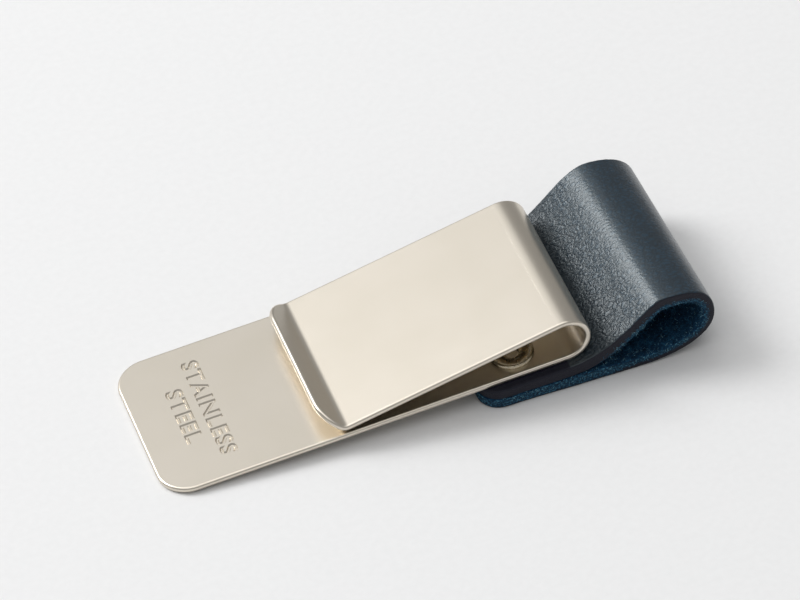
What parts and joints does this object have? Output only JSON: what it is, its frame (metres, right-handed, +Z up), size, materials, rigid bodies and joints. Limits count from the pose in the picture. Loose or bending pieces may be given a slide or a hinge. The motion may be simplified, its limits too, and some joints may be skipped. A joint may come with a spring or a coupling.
{
  "type": "pen holder clip",
  "caption": "Flat spring clip of bent stainless sheet with a sprung leaf and turned-up lip, and a folded leather pen loop riveted under its rear end.",
  "frame": {"origin": "on the table, at the middle of the length and of the width", "axes": "+X from the base plate's tip towards the pen loop, +Y across the clip (the pen's own direction), +Z up"},
  "size_m": [0.0608, 0.022, 0.0096],
  "materials": {
    "stainless_sheet": "satin",
    "rivet_metal": "antique satin",
    "leather": "waxed grain"
  },
  "bodies": {
    "clip": {"base_plate": "stainless_sheet", "rear_bend": "stainless_sheet", "near_rivet": "rivet_metal", "far_rivet": "rivet_metal", "near_rivet_cap": "rivet_metal", "far_rivet_cap": "rivet_metal", "upper_tail": "leather", "lower_tail": "leather"},
    "leaf": {"spring_leaf": "stainless_sheet", "turned_lip": "stainless_sheet"},
    "loop": {"pen_loop": "leather"}
  },
  "joints": [
    {"name": "leaf_opening", "type": "hinge", "parent": "clip", "child": "leaf", "pos_m": [0.01305, 0, 0.00818], "axis": [0, 1, 0], "range_deg": [-1, 10], "stiffness_Nm_per_rad": 4},
    {"name": "loop_flex", "type": "hinge", "parent": "clip", "child": "loop", "pos_m": [0.01565, 0, 0.0018], "axis": [0, -1, 0], "range_deg": [-10, 15], "stiffness_Nm_per_rad": 0.05}
  ]
}
